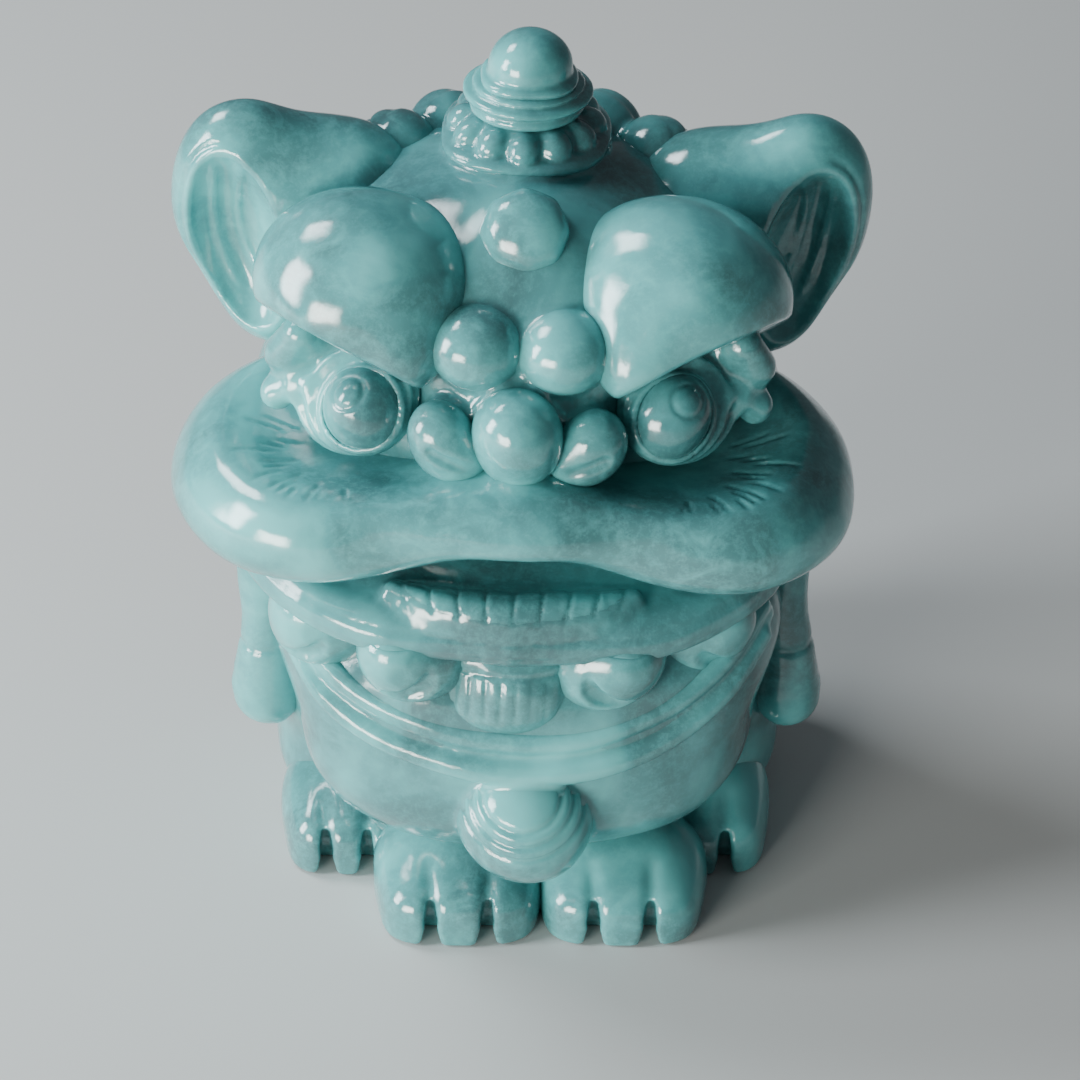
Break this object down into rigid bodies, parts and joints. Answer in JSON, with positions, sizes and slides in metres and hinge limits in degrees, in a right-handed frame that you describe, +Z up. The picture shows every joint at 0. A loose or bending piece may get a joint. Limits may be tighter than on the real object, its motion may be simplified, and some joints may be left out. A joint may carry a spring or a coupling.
{
  "type": "lion figurine",
  "caption": "Small carved stone lion sitting with an oversized dance-mask head, wide lip, ruff of beads and a collar bell; it stands on its own flat base.",
  "frame": {"origin": "middle of the figure's footprint box, on the plane that the paws stand on", "axes": "+Z up, -Y the way the lion looks, +X the lion's left"},
  "size_m": [0.0275, 0.0245, 0.0365],
  "materials": {
    "jade_body": "polished, cloudy, slightly translucent",
    "jade_raised": "polished, cloudy, slightly translucent, paler where it is thin",
    "jade_eyes": "polished, cloudy, slightly translucent"
  },
  "bodies": {
    "root": {"torso": "jade_body", "chest": "jade_body", "collar": "jade_raised", "bell": "jade_raised", "front_paw_left": "jade_raised", "front_paw_right": "jade_raised", "hind_paw_left": "jade_raised", "hind_paw_right": "jade_raised", "haunch_left": "jade_body", "haunch_right": "jade_body", "spine_balls": "jade_raised", "tail": "jade_raised", "head": "jade_body", "muzzle": "jade_raised", "lower_jaw": "jade_body", "lower_teeth": "jade_raised", "ear_left": "jade_raised", "ear_right": "jade_raised", "brow_left": "jade_raised", "brow_right": "jade_raised", "eye_left": "jade_eyes", "eye_right": "jade_eyes", "eyelid_left": "jade_raised", "eyelid_right": "jade_raised", "nose_tip": "jade_raised", "nostril_left": "jade_raised", "nostril_right": "jade_raised", "nose_bridge_left": "jade_raised", "nose_bridge_right": "jade_raised", "forehead_mirror": "jade_raised", "horn_ring": "jade_body", "horn_bun": "jade_raised", "horn_dome": "jade_raised", "chin_tassel": "jade_raised", "ruff_cup_inner_left": "jade_raised", "ruff_cup_inner_right": "jade_raised", "ruff_cup_outer_left": "jade_raised", "ruff_cup_outer_right": "jade_raised", "ruff_bead_inner_left": "jade_raised", "ruff_bead_inner_right": "jade_raised", "ruff_bead_outer_left": "jade_raised", "ruff_bead_outer_right": "jade_raised", "cheek_tassel_left": "jade_raised", "cheek_tassel_right": "jade_raised", "mane_curls_top": "jade_body", "mane_curls_middle": "jade_body", "mane_curls_low": "jade_body", "mane_curls_neck": "jade_body"}
  },
  "joints": []
}
